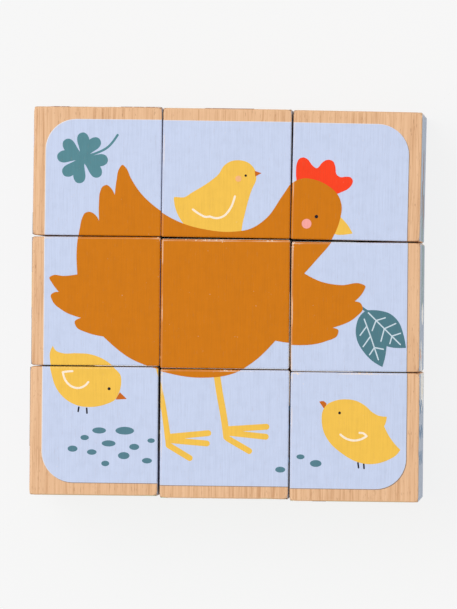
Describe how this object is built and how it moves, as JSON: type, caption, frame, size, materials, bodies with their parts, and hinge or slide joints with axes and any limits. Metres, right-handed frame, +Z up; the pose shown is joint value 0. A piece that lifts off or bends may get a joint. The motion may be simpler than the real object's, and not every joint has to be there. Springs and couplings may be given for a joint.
{
  "type": "picture cube puzzle",
  "caption": "Square set of loose wooden cubes with rounded edges, pushed together flat so that the prints on their top faces join into one picture; each cube rolls to show another face.",
  "frame": {"origin": "on the resting plane, under the middle of the set's outline", "axes": "+Z up out of the picture side, +Y towards the top edge of the picture, +X towards its right edge"},
  "size_m": [0.1213, 0.1217, 0.04],
  "materials": {
    "cube_wood": "pale bare hardwood, sanded smooth, satin",
    "printed_ink": "matt ink printed straight on the wood, which shows through a little"
  },
  "bodies": {
    "back_left": {"back_left_block": "cube_wood"},
    "back_centre": {"back_centre_block": "cube_wood"},
    "back_right": {"back_right_block": "cube_wood"},
    "middle_left": {"middle_left_block": "cube_wood"},
    "centre": {"centre_block": "cube_wood"},
    "middle_right": {"middle_right_block": "cube_wood"},
    "front_left": {"front_left_block": "cube_wood"},
    "front_centre": {"front_centre_block": "cube_wood"},
    "front_right": {"front_right_block": "cube_wood"}
  },
  "joints": [
    {"name": "back_left_roll", "type": "hinge", "parent": "centre", "child": "back_left", "pos_m": [-0.04041, 0.06026, 0.0005], "axis": [-1, 0, 0], "range_deg": [0, 90]},
    {"name": "back_centre_roll", "type": "hinge", "parent": "centre", "child": "back_centre", "pos_m": [-0.00005, 0.06008, 0.0005], "axis": [-1, 0.0045, 0], "range_deg": [0, 90]},
    {"name": "back_right_roll", "type": "hinge", "parent": "centre", "child": "back_right", "pos_m": [0.04053, 0.05968, 0.0005], "axis": [-0.9999, 0.0112, 0], "range_deg": [0, 90]},
    {"name": "middle_left_roll", "type": "hinge", "parent": "centre", "child": "middle_left", "pos_m": [-0.0599, 0.00027, 0.0005], "axis": [0.0045, -1, 0], "range_deg": [0, 90]},
    {"name": "middle_right_roll", "type": "hinge", "parent": "centre", "child": "middle_right", "pos_m": [0.0599, -0.00045, 0.0005], "axis": [-0.0022, 1, 0], "range_deg": [0, 90]},
    {"name": "front_left_roll", "type": "hinge", "parent": "centre", "child": "front_left", "pos_m": [-0.04047, -0.05954, 0.0005], "axis": [1, 0.0034, 0], "range_deg": [0, 90]},
    {"name": "front_centre_roll", "type": "hinge", "parent": "centre", "child": "front_centre", "pos_m": [0.00022, -0.05995, 0.0005], "axis": [1, 0.0022, 0], "range_deg": [0, 90]},
    {"name": "front_right_roll", "type": "hinge", "parent": "centre", "child": "front_right", "pos_m": [0.04067, -0.06031, 0.0005], "axis": [1, 0.0022, 0], "range_deg": [0, 90]}
  ]
}
